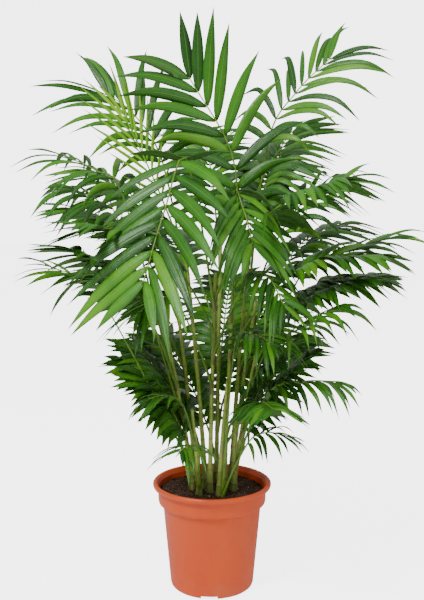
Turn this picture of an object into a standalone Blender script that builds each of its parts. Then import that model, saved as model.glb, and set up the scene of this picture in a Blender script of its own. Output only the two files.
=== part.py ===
"""A clump palm: slender canes with feathery fronds, growing in a round nursery pot."""

import math
import random
from typing import NamedTuple

import bmesh
import bpy
from mathutils import Matrix, Vector
from mathutils.bvhtree import BVHTree

# The pot
POT_HEIGHT = 0.188
RIM_RADIUS = 0.105
RIM_DEPTH = 0.008
RIM_ROUND = 0.0025
COLLAR_RADIUS = 0.0955
COLLAR_DEPTH = 0.035
COLLAR_STEP = 0.004
BODY_TOP_RADIUS = 0.0875
FOOT_RADIUS = 0.0735
FOOT_ROUND = 0.004
WALL = 0.002
FLOOR_LIFT = 0.007
FOOT_RING = 0.004
PAD_RADIUS = 0.014
NOTCH_WIDTH = 0.029
NOTCHES = 4
NOTCH_TURN = -94
NOTCH_RISE = 0.0056
DRAIN_RADIUS = 0.0055
DRAIN_CIRCLE = 0.044
DRAINS = 6
POT_SEGMENTS = 40

# The soil
FIT_GAP = 0.0003
SOIL_DROP = 0.013
SOIL_FLAT_RADIUS = 0.056
SOIL_EDGE_DROP = 0.004
SOIL_SEGMENTS = 28
SOIL_TOP = POT_HEIGHT - SOIL_DROP

# The canes
CANE_FOOT_RADIUS = 0.0056
CANE_RADIUS = 0.0034
CANE_TIP_RADIUS = 0.0022
CANE_SIDES = 8
# Shares of a cane's height: where its swollen foot ends, and the rings it is drawn through
CANE_SWELL = 0.12
CANE_RINGS = (0.05, 0.12, 0.35, 0.65, 1.0)

# The fronds
CLEARANCE = 0.0004
STALK_RADIUS = 0.0019
STALK_TIP_RADIUS = 0.0009
LEAF_HALF_THICKNESS = 0.0006
LEAF_ROOT = 0.0028
ROOT_FREE = 0.012
STALK_RINGS = (0, 0.2, 0.45, 0.72)
HULL_SIDES = 24
# Shares of a leaflet's length where its blade has a ring of corners
LEAF_CUTS = (0.3, 0.65, 1.0)
YOUNG_CUTS = (0.4, 1.0)
FILLER_CUTS = (0.42, 1.0)
# From the first pair to the last: degrees added to the sweep, and the share of the droop
SWEEP_ADDED = (10, -16)
DROOP_SHARE = (1.2, 0.55)
# Ways to hold a leaflet that has no room as it is: degrees more of lift, degrees more of sweep
TRIES = ((0, 0), (9, 0), (-9, 0), (0, 8), (0, -8), (18, 4), (-18, 4), (28, 0), (-28, 0), (38, 8))
SEED = 7

# name: foot x, y, then top x, y and height above the soil
CANES = {
    "cane_1": ((0.022, 0.002), (0.040, -0.002, 0.415)),
    "cane_2": ((-0.004, -0.024), (0.006, -0.018, 0.385)),
    "cane_3": ((-0.012, 0.004), (-0.046, 0.012, 0.425)),
    "cane_4": ((0.034, 0.020), (0.066, 0.030, 0.425)),
    "cane_5": ((0.038, -0.016), (0.080, -0.022, 0.265)),
    "cane_6": ((-0.034, -0.008), (-0.084, -0.012, 0.305)),
    "cane_7": ((-0.022, -0.036), (-0.034, -0.052, 0.155)),
    "cane_8": ((0.008, 0.036), (0.016, 0.076, 0.425)),
    "cane_9": ((-0.030, 0.030), (-0.066, 0.064, 0.345)),
    "cane_10": ((0.012, -0.042), (0.026, -0.062, 0.205)),
    "cane_11": ((0.036, 0.040), (0.080, 0.070, 0.325)),
}


class Frond(NamedTuple):
    """Where a frond grows, the points its stalk and midrib pass through (the lowest leaflets are
    at the first one), and how its leaflets are held: lengths in metres, heights above the soil,
    angles in degrees. last is the share of the full length that the pair at the tip has."""

    cane: str
    height: float
    through: tuple
    pairs: int
    leaf: float
    breadth: float = 0.0092
    facing: float | None = None
    sweep: float = 54
    lift: float = 4
    droop: float = 1.1
    last: float = 0.6


FRONDS = {
    "frond_top": Frond(
        "cane_1", 0.380, ((0.044, -0.020, 0.493), (0.030, -0.026, 0.595), (-0.038, -0.042, 0.709)),
        9, 0.158, 0.0115, facing=105, sweep=44, lift=12, droop=0.70, last=0.80,
    ),
    "frond_upper_left": Frond(
        "cane_3", 0.385, ((-0.086, 0.020, 0.575), (-0.136, 0.030, 0.657), (-0.184, 0.040, 0.693)),
        10, 0.155, 0.0080, facing=115, sweep=46, lift=12, droop=0.9, last=0.8,
    ),
    "frond_upper_right": Frond(
        "cane_4", 0.365, ((0.098, 0.040, 0.610), (0.148, 0.050, 0.697), (0.208, 0.060, 0.757)),
        11, 0.140, 0.0070, facing=60, sweep=46, lift=8, droop=0.95, last=0.75,
    ),
    "frond_right": Frond(
        "cane_4", 0.295, ((0.108, 0.002, 0.431), (0.162, 0.014, 0.509), (0.232, 0.028, 0.547)),
        10, 0.118, 0.0070, facing=50, sweep=44, lift=8, droop=1.0, last=0.7,
    ),
    "frond_front": Frond(
        "cane_2", 0.345, ((-0.040, -0.092, 0.573), (-0.074, -0.172, 0.485), (-0.102, -0.212, 0.385)),
        10, 0.165, 0.0140, sweep=54, lift=10, droop=0.4,
    ),
    "frond_left": Frond(
        "cane_6", 0.225, ((-0.150, -0.022, 0.513), (-0.198, -0.014, 0.559), (-0.246, 0.000, 0.581)),
        9, 0.120, 0.0066, facing=140, lift=8, droop=1.3,
    ),
    "frond_left_low": Frond(
        "cane_6", 0.165, ((-0.150, -0.052, 0.465), (-0.186, -0.056, 0.507), (-0.222, -0.060, 0.525)),
        8, 0.118, 0.0066, facing=165, lift=0, droop=1.4,
    ),
    "frond_far_left": Frond(
        "cane_7", 0.040, ((-0.190, -0.040, 0.349), (-0.226, -0.048, 0.381), (-0.264, -0.054, 0.395)),
        7, 0.086, 0.0056, facing=150, sweep=47, lift=0, droop=0.45, last=0.95,
    ),
    "frond_far_right": Frond(
        "cane_5", 0.205, ((0.148, -0.030, 0.377), (0.212, -0.042, 0.417), (0.280, -0.052, 0.443)),
        10, 0.106, 0.0070, facing=10, sweep=47, droop=0.7, last=1.0,
    ),
    "frond_right_low": Frond(
        "cane_5", 0.115, ((0.110, -0.076, 0.265), (0.150, -0.102, 0.311), (0.194, -0.120, 0.337)),
        9, 0.098, 0.0056, sweep=52, lift=-8, droop=1.5,
    ),
    "frond_low_right": Frond(
        "cane_10", 0.095, ((0.096, -0.068, 0.191), (0.154, -0.080, 0.209), (0.206, -0.092, 0.211)),
        10, 0.076, 0.0052, facing=10, sweep=50, lift=-4, droop=1.9,
    ),
    "frond_low_left": Frond(
        "cane_7", 0.110, ((-0.052, -0.072, 0.171), (-0.080, -0.080, 0.185), (-0.104, -0.090, 0.181)),
        7, 0.062, 0.0044, sweep=48, lift=0, droop=1.2,
    ),
    "frond_base_front": Frond(
        "cane_7", 0.025, ((-0.022, -0.072, 0.087), (-0.036, -0.096, 0.105), (-0.052, -0.118, 0.101)),
        6, 0.070, 0.0044, sweep=54, lift=0, droop=1.3,
    ),
    "frond_centre": Frond(
        "cane_1", 0.325, ((0.036, -0.070, 0.515), (0.050, -0.110, 0.493), (0.064, -0.142, 0.439)),
        10, 0.118, 0.0072, sweep=52, lift=4, droop=1.3,
    ),
    "frond_middle": Frond(
        "cane_2", 0.255, ((0.060, -0.080, 0.381), (0.090, -0.118, 0.385), (0.112, -0.154, 0.345)),
        10, 0.096, 0.0058, sweep=52, droop=1.5,
    ),
    "frond_middle_left": Frond(
        "cane_2", 0.205, ((-0.054, -0.070, 0.335), (-0.084, -0.102, 0.353), (-0.116, -0.132, 0.331)),
        9, 0.096, 0.0058, sweep=50, droop=1.2,
    ),
    "frond_middle_low": Frond(
        "cane_10", 0.055, ((0.046, -0.072, 0.277), (0.080, -0.094, 0.305), (0.122, -0.116, 0.295)),
        10, 0.080, 0.0052, sweep=52, droop=1.6,
    ),
    "frond_low": Frond(
        "cane_10", 0.030, ((0.058, -0.070, 0.107), (0.086, -0.088, 0.129), (0.116, -0.104, 0.127)),
        7, 0.064, 0.0046, facing=20, sweep=50, droop=1.5,
    ),
    "frond_young": Frond(
        "cane_3", 0.410, ((-0.086, -0.030, 0.515), (-0.118, -0.042, 0.590), (-0.146, -0.050, 0.650)),
        9, 0.122, 0.0036, facing=110, sweep=26, lift=0, droop=0.1,
    ),
}

# cane, height of the stalk's foot above the soil, compass direction it leans, stalk, midrib, first and last slope
FILLERS = (
    ("cane_1", 0.395, 40, 0.09, 0.20, 86, 40),
    ("cane_5", 0.075, -10, 0.04, 0.16, 86, 45),
    ("cane_3", 0.325, 140, 0.14, 0.20, 83, 20),
    ("cane_3", 0.075, 170, 0.04, 0.16, 86, 45),
    ("cane_4", 0.400, 60, 0.09, 0.20, 84, 25),
    ("cane_8", 0.385, 100, 0.09, 0.22, 85, 40),
    ("cane_11", 0.055, 20, 0.04, 0.17, 84, 45),
    ("cane_8", 0.275, 124, 0.14, 0.20, 82, 0),
    ("cane_8", 0.155, 80, 0.05, 0.19, 86, 40),
    ("cane_9", 0.305, 155, 0.11, 0.18, 83, 15),
    ("cane_9", 0.055, 150, 0.04, 0.17, 84, 50),
    ("cane_9", 0.215, 150, 0.08, 0.15, 82, 20),
    ("cane_11", 0.285, 40, 0.11, 0.19, 82, 10),
    ("cane_11", 0.215, 10, 0.13, 0.16, 82, 0),
    ("cane_11", 0.135, 62, 0.08, 0.16, 78, -20),
    ("cane_6", 0.275, 200, 0.09, 0.17, 84, 15),
    ("cane_5", 0.240, -18, 0.08, 0.16, 82, 10),
    ("cane_2", 0.365, -60, 0.09, 0.20, 84, 15),
    ("cane_6", 0.195, 225, 0.12, 0.13, 84, 20),
    ("cane_1", 0.255, -30, 0.13, 0.18, 82, 0),
    ("cane_2", 0.295, -140, 0.12, 0.18, 84, 5),
    ("cane_8", 0.055, 128, 0.05, 0.18, 84, 45),
    ("cane_8", 0.115, 50, 0.05, 0.18, 84, 40),
    ("cane_5", 0.065, -50, 0.12, 0.12, 82, -5),
    ("cane_7", 0.075, -165, 0.04, 0.14, 86, 45),
    ("cane_6", 0.085, 175, 0.04, 0.15, 86, 45),
    ("cane_4", 0.225, -8, 0.12, 0.17, 82, 0),
    ("cane_10", 0.095, -20, 0.06, 0.15, 84, 40),
)
FILLER_PAIRS = 9
FILLER_LEAF_SHARE = 0.62
FILLER_BREADTH = 0.0066
FILLER_LAST = 0.7
FILLER_SWEEP = 54
FILLER_LIFT = 4
FILLER_DROOP = (0.7, 1.2)


def clear_scene():
    for item in list(bpy.data.objects):
        bpy.data.objects.remove(item)


def material(name, colour, roughness, coat=0.0):
    made = bpy.data.materials.new(name)
    made.use_nodes = True
    shader = made.node_tree.nodes["Principled BSDF"]
    shader.inputs["Base Color"].default_value = (*colour, 1.0)
    shader.inputs["Roughness"].default_value = roughness
    shader.inputs["Coat Weight"].default_value = coat
    return made


def add_object(name, bm, surface, smooth=True):
    bmesh.ops.recalc_face_normals(bm, faces=bm.faces)
    if bm.calc_volume(signed=True) < 0:
        bmesh.ops.reverse_faces(bm, faces=bm.faces)
    mesh = bpy.data.meshes.new(name)
    bm.to_mesh(mesh)
    bm.free()
    mesh.materials.append(surface)
    made = bpy.data.objects.new(name, mesh)
    bpy.context.scene.collection.objects.link(made)
    if smooth:
        mesh.shade_smooth()
    return made


# ---------------------------------------------------------------- pot and soil


def wall_radius(z):
    """Outer radius of the tapered body at a height."""
    top = POT_HEIGHT - COLLAR_DEPTH
    return FOOT_RADIUS + (BODY_TOP_RADIUS - FOOT_RADIUS) * z / top


def turned(profile, segments):
    """A closed body of revolution from (radius, height) points that start and end on the axis."""
    bm = bmesh.new()
    points = [bm.verts.new((r, 0, z)) for r, z in profile]
    edges = [bm.edges.new(pair) for pair in zip(points, points[1:])]
    bmesh.ops.spin(
        bm,
        geom=points + edges,
        cent=(0, 0, 0),
        axis=(0, 0, 1),
        angle=2 * math.pi,
        steps=segments,
        use_merge=True,
    )
    bmesh.ops.remove_doubles(bm, verts=bm.verts, dist=1e-6)
    return bm


def pot_profile():
    """From the middle of the foot pad, up the outside, over the rim and down the inside."""
    body_top = POT_HEIGHT - COLLAR_DEPTH
    ring_inner = FOOT_RADIUS - FOOT_ROUND - FOOT_RING
    rim_inner = COLLAR_RADIUS - WALL + 0.004
    step_z = body_top - COLLAR_STEP
    return (
        (0, 0),
        (PAD_RADIUS, 0),
        (PAD_RADIUS + 0.002, FLOOR_LIFT),
        (ring_inner - 0.001, FLOOR_LIFT),
        (ring_inner, 0),
        (FOOT_RADIUS - FOOT_ROUND, 0),
        (FOOT_RADIUS - FOOT_ROUND / 3, FOOT_ROUND / 3),
        (wall_radius(FOOT_ROUND), FOOT_ROUND),
        (wall_radius(step_z), step_z),
        (COLLAR_RADIUS - 0.002, body_top),
        (COLLAR_RADIUS, body_top + 0.002),
        (COLLAR_RADIUS + 0.001, POT_HEIGHT - RIM_DEPTH - 0.001),
        (RIM_RADIUS - RIM_ROUND, POT_HEIGHT - RIM_DEPTH),
        (RIM_RADIUS, POT_HEIGHT - RIM_DEPTH + RIM_ROUND),
        (RIM_RADIUS, POT_HEIGHT - RIM_ROUND),
        (RIM_RADIUS - RIM_ROUND, POT_HEIGHT),
        (rim_inner + 0.001, POT_HEIGHT),
        (COLLAR_RADIUS - WALL, POT_HEIGHT - RIM_DEPTH),
        (COLLAR_RADIUS - WALL, body_top + 0.001),
        (wall_radius(body_top) - WALL, step_z),
        (wall_radius(FLOOR_LIFT + 0.006) - WALL, FLOOR_LIFT + 0.006),
        (wall_radius(FLOOR_LIFT) - WALL - 0.004, FLOOR_LIFT + WALL),
        (0, FLOOR_LIFT + WALL),
    )


def cut(body, bm, name):
    """Takes the cutter's shape out of the body."""
    cutter = add_object(name, bm, body.data.materials[0])
    cutter.hide_render = True
    cutter.display_type = "WIRE"
    boolean = body.modifiers.new(name, "BOOLEAN")
    boolean.operation = "DIFFERENCE"
    boolean.solver = "EXACT"
    boolean.object = cutter
    bpy.context.view_layer.objects.active = body
    bpy.context.view_layer.update()
    result = body.evaluated_get(bpy.context.evaluated_depsgraph_get())
    fresh = bpy.data.meshes.new_from_object(result)
    body.modifiers.remove(boolean)
    body.data = fresh
    bpy.data.objects.remove(cutter)


def make_pot(surface):
    """Thin moulded wall, rolled rim, collar, foot ring with drain notches and holes."""
    pot = add_object("pot", turned(pot_profile(), POT_SEGMENTS), surface)
    notches = bmesh.new()
    for i in range(NOTCHES):
        turn = Matrix.Rotation(math.radians(NOTCH_TURN + 360 / NOTCHES * i), 4, "Z")
        place = turn @ Matrix.Translation((FOOT_RADIUS - FOOT_RING * 0.75, 0, 0))
        size = Matrix.Diagonal((5 * FOOT_RING, NOTCH_WIDTH, 2 * NOTCH_RISE, 1))
        bmesh.ops.create_cube(notches, size=1, matrix=place @ size)
    cut(pot, notches, "notch_cutter")
    drains = bmesh.new()
    for i in range(DRAINS):
        turn = Matrix.Rotation(math.radians(360 / DRAINS * (i + 0.5)), 4, "Z")
        bmesh.ops.create_cone(
            drains,
            cap_ends=True,
            segments=12,
            radius1=DRAIN_RADIUS,
            radius2=DRAIN_RADIUS,
            depth=4 * FLOOR_LIFT,
            matrix=turn @ Matrix.Translation((DRAIN_CIRCLE, 0, FLOOR_LIFT)),
        )
    cut(pot, drains, "drain_cutter")
    return pot


def make_soil(surface):
    """The potting mix: fills the pot to just under its rim, a little lower along the wall."""
    top = SOIL_TOP
    foot = FLOOR_LIFT + WALL + FIT_GAP
    body_top = POT_HEIGHT - COLLAR_DEPTH
    step_z = body_top - COLLAR_STEP
    side = COLLAR_RADIUS - WALL - FIT_GAP
    narrow = wall_radius(step_z) - WALL - FIT_GAP
    profile = (
        (0, foot),
        (wall_radius(FLOOR_LIFT) - WALL - 0.0045, foot),
        (wall_radius(FLOOR_LIFT + 0.006) - WALL - 2 * FIT_GAP, FLOOR_LIFT + 0.0065),
        (narrow - FIT_GAP, step_z),
        (side - FIT_GAP, body_top + 0.0015),
        (side, top - SOIL_EDGE_DROP),
        (SOIL_FLAT_RADIUS, top),
        (0, top),
    )
    return add_object("soil", turned(profile, SOIL_SEGMENTS), surface)


# ---------------------------------------------------------------- canes


def cane_point(name, z):
    """Axis point and radius of a cane at a height. The cane leaves the soil nearly upright."""
    foot, top = CANES[name]
    base = SOIL_TOP + FIT_GAP
    t = max(0.0, (z - base) / (SOIL_TOP + top[2] - base))
    bend = t**1.25
    here = Vector((foot[0] + (top[0] - foot[0]) * bend, foot[1] + (top[1] - foot[1]) * bend, z))
    if t < CANE_SWELL:
        radius = CANE_FOOT_RADIUS + (CANE_RADIUS - CANE_FOOT_RADIUS) * t / CANE_SWELL
    else:
        thinner = (t - CANE_SWELL) / (1 - CANE_SWELL)
        radius = CANE_RADIUS + (CANE_TIP_RADIUS - CANE_RADIUS) * thinner
    return here, radius


def make_cane(name, surface):
    """A cane, swollen at the soil, drawn up ring by ring."""
    base = SOIL_TOP + FIT_GAP
    top = SOIL_TOP + CANES[name][1][2]
    bm = bmesh.new()
    bmesh.ops.create_circle(bm, cap_ends=True, segments=CANE_SIDES, radius=1)
    bm.faces.ensure_lookup_table()
    cap = bm.faces[0]
    corners = [v.co.copy() for v in cap.verts]
    place_ring(cap, corners, *cane_point(name, base))
    for t in CANE_RINGS:
        centre, radius = cane_point(name, base + (top - base) * t)
        cap = extruded(bm, cap)
        place_ring(cap, corners, centre, radius)
    return closed_bottom(bm, name, surface)


def place_ring(face, corners, centre, radius):
    for vert, corner in zip(face.verts, corners):
        vert.co = centre + corner * radius


def closed_bottom(bm, name, surface):
    """Closes the open first ring that the extrusion left, and makes the object."""
    rim = [e for e in bm.edges if e.is_boundary]
    bmesh.ops.contextual_create(bm, geom=rim)
    return add_object(name, bm, surface)


def extruded(bm, face):
    return bmesh.ops.extrude_discrete_faces(bm, faces=[face])["faces"][0]


# ---------------------------------------------------------------- fronds


class Path:
    """A smooth curve through the points of a stalk and its midrib, walked by length."""

    def __init__(self, points, facing=None, steps=14):
        ends = [2 * points[0] - points[1] - Vector((0, 0, 0.05)), *points, 2 * points[-1] - points[-2]]
        self.dots = []
        self.knots = [0]
        for a, b, c, d in zip(ends, ends[1:], ends[2:], ends[3:]):
            for i in range(steps):
                self.dots.append(curve_point(a, b, c, d, i / steps))
            self.knots.append(len(self.dots))
        self.dots.append(points[-1].copy())
        self.lengths = [0.0]
        for a, b in zip(self.dots, self.dots[1:]):
            self.lengths.append(self.lengths[-1] + (b - a).length)
        self.first_leaf = self.lengths[self.knots[1]]
        self.total = self.lengths[-1]
        lean = points[-1] - points[0]
        if facing is not None:
            lean = Vector((math.cos(math.radians(facing)), math.sin(math.radians(facing)), 0))
        self.side = Vector((lean.x, lean.y, 0)).normalized().cross(Vector((0, 0, 1)))

    def at(self, s):
        """Point, direction along, side direction and upper side at a length along."""
        i = max(k for k in range(len(self.dots) - 1) if self.lengths[k] <= s + 1e-9)
        step = self.dots[i + 1] - self.dots[i]
        here = self.dots[i] + step * (s - self.lengths[i]) / step.length
        along = step.normalized()
        side = (self.side - along * self.side.dot(along)).normalized()
        return here, along, side, side.cross(along)


def curve_point(a, b, c, d, t):
    """A Catmull-Rom curve between b and c."""
    bend = (2 * a - 5 * b + 4 * c - d) * t * t + (3 * b - a - 3 * c + d) * t**3
    return 0.5 * (2 * b + (c - a) * t + bend)


def stalk_rings(path, pairs):
    """Lengths along the path of the rings of the stalk, then two rings to each pair."""
    rings = [path.first_leaf * t for t in STALK_RINGS]
    span = path.total - path.first_leaf
    for k in range(pairs):
        middle = path.first_leaf + span * (k / (pairs - 1)) ** 0.92
        middle = min(middle, path.total - LEAF_ROOT)
        rings += [middle - LEAF_ROOT, middle + LEAF_ROOT]
    return rings


def stalk_radius(path, s):
    return STALK_RADIUS + (STALK_TIP_RADIUS - STALK_RADIUS) * s / path.total


def ring_corners(path, s, grow=0.0):
    """The four corners of a stalk ring: upper right, upper left, lower left, lower right."""
    here, _, side, up = path.at(min(s, path.total))
    radius = stalk_radius(path, s) + grow
    signs = ((1, 1), (-1, 1), (-1, -1), (1, -1))
    return [here + side * radius * a + up * radius * b for a, b in signs]


def leaf_stations(path, s, hand, length, sweep, lift, droop, cuts):
    """Where a leaflet runs: centre, blade's width direction and normal at each station."""
    here, along, side, up = path.at(s)
    side = side * hand
    sweep, lift = math.radians(sweep), math.radians(lift)
    out = side * math.cos(lift) + up * math.sin(lift)
    heading = (along * math.cos(sweep) + out * math.sin(sweep)).normalized()
    place = here + side * stalk_radius(path, s)
    stations = []
    last = 0.0
    for cut_at in cuts:
        middle = (cut_at + last) / 2
        bent = (heading - Vector((0, 0, droop * middle**1.5))).normalized()
        place = place + bent * length * (cut_at - last)
        across = (along - bent * along.dot(bent)).normalized()
        stations.append((place.copy(), across, bent.cross(across) * hand))
        last = cut_at
    return stations


def leaf_rings(stations, width, cuts, grow=0.0):
    """Four corners per station: near edge, underside ridge, far edge, upper ridge."""
    rings = []
    for (centre, across, normal), cut_at in zip(stations, cuts):
        share = min(1.0, 3.1 * (1 - cut_at) ** 0.8 * (cut_at + 0.06) ** 0.45) if cut_at < 1 else 0.02
        half = across * (width * share + grow)
        thick = normal * (LEAF_HALF_THICKNESS + grow)
        rings.append([centre - half, centre - thick, centre + half, centre + thick])
    return rings


def hull_tree(rings):
    """A search tree of the tube that the rings of corners describe, with its two limits."""
    verts = [corner for ring in rings for corner in ring]
    count = len(rings[0])
    faces = []
    for i in range(len(rings) - 1):
        for k in range(count):
            a, b = count * i + k, count * i + (k + 1) % count
            if k % 2:
                a, b = b, a
            faces += [(a, b, b + count), (a, b + count, a + count)]
    low = [min(v[i] for v in verts) for i in range(3)]
    high = [max(v[i] for v in verts) for i in range(3)]
    return low, high, BVHTree.FromPolygons(verts, faces)


def free_of(hull, others):
    low, high, tree = hull
    for other_low, other_high, other_tree in others:
        apart = any(low[i] > other_high[i] or high[i] < other_low[i] for i in range(3))
        if not apart and tree.overlap(other_tree):
            return False
    return True


def pot_and_cane_hulls():
    """What the fronds keep clear of: the canes, the rim and the soil."""
    hulls = []
    base = SOIL_TOP
    for name, (_, top) in CANES.items():
        rings = []
        for i in range(13):
            centre, radius = cane_point(name, base + top[2] * i / 12)
            rings.append(circle(centre, radius * 1.08 + CLEARANCE, CANE_SIDES))
        hulls.append(hull_tree(rings))
    for radius, top in ((RIM_RADIUS, POT_HEIGHT), (COLLAR_RADIUS, base)):
        rings = [circle(Vector((0, 0, z)), radius, HULL_SIDES) for z in (0, top + CLEARANCE)]
        middle = circle(Vector((0, 0, top + CLEARANCE)), FIT_GAP, HULL_SIDES)
        hulls.append(hull_tree([*rings, middle] if top == base else rings))
    return hulls


def circle(centre, radius, count):
    turns = (2 * math.pi * i / count for i in range(count))
    return [centre + Vector((radius * math.cos(a), radius * math.sin(a), 0)) for a in turns]


def stalk_foot(cane, z, towards):
    """Where a stalk leaves its cane: beside it, with the fitting gap between."""
    centre, radius = cane_point(cane, z)
    lean = Vector((towards.x - centre.x, towards.y - centre.y, 0)).normalized()
    return centre + lean * (radius * 1.2 + STALK_RADIUS * 1.6 + CLEARANCE + FIT_GAP)


def filler_points(foot, turn, stalk, midrib, first, last):
    """Points of a frond that leans one way and bends from its first slope to its last."""
    heading = Vector((math.cos(turn), math.sin(turn), 0))
    points = [foot]
    for length, share in ((stalk, 0.35), (midrib / 2, 0.6), (midrib / 2, 0.9)):
        slope = math.radians(first + (last - first) * share)
        step = heading * math.cos(slope) + Vector((0, 0, math.sin(slope)))
        points.append(points[-1] + step * length)
    return points


def find_stalk(plan, pairs, others, facing=None):
    """The first free course for a stalk, trying small turns about its foot and changed heights."""
    for drop in (0, -0.012, 0.012, -0.024, 0.024, -0.036, 0.036, -0.05, 0.05, -0.07, 0.07):
        for turn in (0, 4, -4, 8, -8, 12, -12, 18, -18, 26, -26):
            points = plan(math.radians(turn), drop)
            path = Path(points, facing)
            rings = [ring_corners(path, s, CLEARANCE) for s in stalk_rings(path, pairs)]
            if free_of(hull_tree(rings), others):
                return path
    return None


def swung(points, turn, rise):
    """The points turned about the upright through the first one, and raised a little."""
    spin = Matrix.Rotation(turn, 3, "Z")
    lifted = Vector((0, 0, rise))
    return [points[0]] + [points[0] + spin @ (p - points[0]) + lifted for p in points[1:]]


def known_plan(cane, z, points):
    def plan(turn, drop):
        wanted = [Vector(p) + Vector((0, 0, SOIL_TOP)) for p in points]
        foot = stalk_foot(cane, SOIL_TOP + z + drop, wanted[0])
        return swung([foot, *wanted], turn, drop / 3)

    return plan


def filler_plan(cane, z, compass, stalk, midrib, first, last):
    def plan(turn, drop):
        heading = math.radians(compass) + turn
        level = SOIL_TOP + z + drop
        centre, _ = cane_point(cane, level)
        towards = centre + Vector((math.cos(heading), math.sin(heading), 0))
        return filler_points(stalk_foot(cane, level, towards), heading, stalk, midrib, first, last)

    return plan


def find_leaf(path, s, hand, shape, cuts, fixed, own):
    """The rings of the first way to hold a leaflet that touches nothing, or None."""
    length, width, sweep, lift, droop = shape
    foot = root_corners(path, s, hand)
    for shrink in (1.0, 0.85, 0.68):
        for lift_by, sweep_by in TRIES:
            tuned = (length * shrink, sweep + sweep_by, lift + lift_by, droop)
            stations = leaf_stations(path, s, hand, *tuned, cuts)
            grown = leaf_rings(stations, width, cuts, CLEARANCE)
            free = ROOT_FREE / (length * shrink)
            start = [a.lerp(b, free / cuts[0]) for a, b in zip(foot, grown[0])]
            outer = hull_tree([start, *grown])
            inner = hull_tree([foot, grown[0]])
            if free_of(outer, fixed + own) and free_of(inner, fixed):
                return leaf_rings(stations, width, cuts), inner, outer
    return None


def root_corners(path, s, hand):
    """What the foot of a leaflet takes up on the stalk: near, under, far and upper corners."""
    here, along, side, up = path.at(s)
    radius = stalk_radius(path, s)
    centre = here + side * radius * hand
    length = along * (LEAF_ROOT + CLEARANCE)
    height = up * (radius + CLEARANCE)
    return [centre - length, centre - height, centre + length, centre + height]


def grow(bm, face, order, rings, point):
    """Extrudes a face through rings of corners. order gives each corner's vertex of the face.

    The blade's sides are split from edge to ridge, above as below, so that it keeps its thickness
    where it twists."""
    slots = [list(face.verts).index(v) for v in order]
    last = None
    for ring in rings:
        face = extruded(bm, face)
        verts = [face.verts[slot] for slot in slots]
        for vert, corner in zip(verts, ring):
            vert.co = corner
        if last and ring is not rings[-1]:
            for edge, ridge in ((0, 1), (0, 3), (2, 1), (2, 3)):
                flank = bm.faces.get([last[edge], last[ridge], verts[ridge], verts[edge]])
                bmesh.utils.face_split(flank, last[edge], verts[ridge])
        last = verts
    if point:
        centre = sum((v.co for v in face.verts), Vector()) / 4
        bmesh.ops.pointmerge(bm, verts=list(face.verts), merge_co=centre)
        return None
    return face


def between(ends, share):
    return ends[0] + (ends[1] - ends[0]) * share


def make_frond(name, path, held, cuts, hulls, surface, rng):
    """One leaf of the palm: stalk, midrib and its two rows of leaflets as a single body."""
    pairs, length, breadth, sweep, lift, droop, last = held
    bm = bmesh.new()
    lengths = stalk_rings(path, pairs)
    bmesh.ops.create_circle(bm, cap_ends=True, segments=4, radius=1)
    bm.faces.ensure_lookup_table()
    cap = bm.faces[0]
    loops = [list(cap.verts)]
    for s, first in zip(lengths, [True] + [False] * len(lengths)):
        if not first:
            cap = extruded(bm, cap)
            loops.append(list(cap.verts))
        for vert, corner in zip(loops[-1], ring_corners(path, s)):
            vert.co = corner
    own = [hull_tree([ring_corners(path, s, CLEARANCE) for s in lengths])]
    roots = []
    made = 0
    for k in range(pairs):
        i = len(STALK_RINGS) + 2 * k
        share = k / (pairs - 1)
        profile = 0.62 + 1.35 * share * (1.15 - share) if k < pairs - 1 else last
        for hand in (1, -1):
            shape = (
                length * min(1.0, profile) * rng.uniform(0.93, 1.05),
                breadth * rng.uniform(0.9, 1.08),
                sweep + between(SWEEP_ADDED, share) + rng.uniform(-4, 4),
                lift + rng.uniform(-6, 6),
                droop * between(DROOP_SHARE, share) * rng.uniform(0.75, 1.25),
            )
            middle = (lengths[i] + lengths[i + 1]) / 2
            found = find_leaf(path, middle, hand, shape, cuts, hulls, own)
            if found:
                rings, inner, outer = found
                attach_leaf(bm, loops[i], loops[i + 1], hand, rings)
                own.append(outer)
                roots.append(inner)
                made += 1
    hulls += own + roots
    closed_bottom(bm, name, surface)
    return made


def attach_leaf(bm, near, far, hand, rings):
    """Extrudes a leaflet from the stalk's side face between two of its rings."""
    upper, lower = (0, 3) if hand > 0 else (1, 2)
    order = [near[upper], near[lower], far[lower], far[upper]]
    grow(bm, bm.faces.get(order), order, rings, True)


def make_fronds(surface, young):
    """The placed fronds first, then the filling ones, each clear of all before it."""
    rng = random.Random(SEED)
    hulls = pot_and_cane_hulls()
    counts = {}
    for name, f in FRONDS.items():
        path = find_stalk(known_plan(f.cane, f.height, f.through), f.pairs, hulls, f.facing)
        if path:
            held = (f.pairs, f.leaf, f.breadth, f.sweep, f.lift, f.droop, f.last)
            colour = young if name == "frond_young" else surface
            cuts = YOUNG_CUTS if name == "frond_young" else LEAF_CUTS
            counts[name] = make_frond(name, path, held, cuts, hulls, colour, rng)
    for i, plan in enumerate(FILLERS):
        path = find_stalk(filler_plan(*plan), FILLER_PAIRS, hulls)
        if path:
            name = f"frond_{i + 1}"
            leaf = FILLER_LEAF_SHARE * plan[4]
            droop = rng.uniform(*FILLER_DROOP)
            held = (FILLER_PAIRS, leaf, FILLER_BREADTH, FILLER_SWEEP, FILLER_LIFT, droop, FILLER_LAST)
            counts[name] = make_frond(name, path, held, FILLER_CUTS, hulls, surface, rng)
    print("leaflets", len(counts), sum(counts.values()), [n for n in FRONDS if n not in counts])


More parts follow.
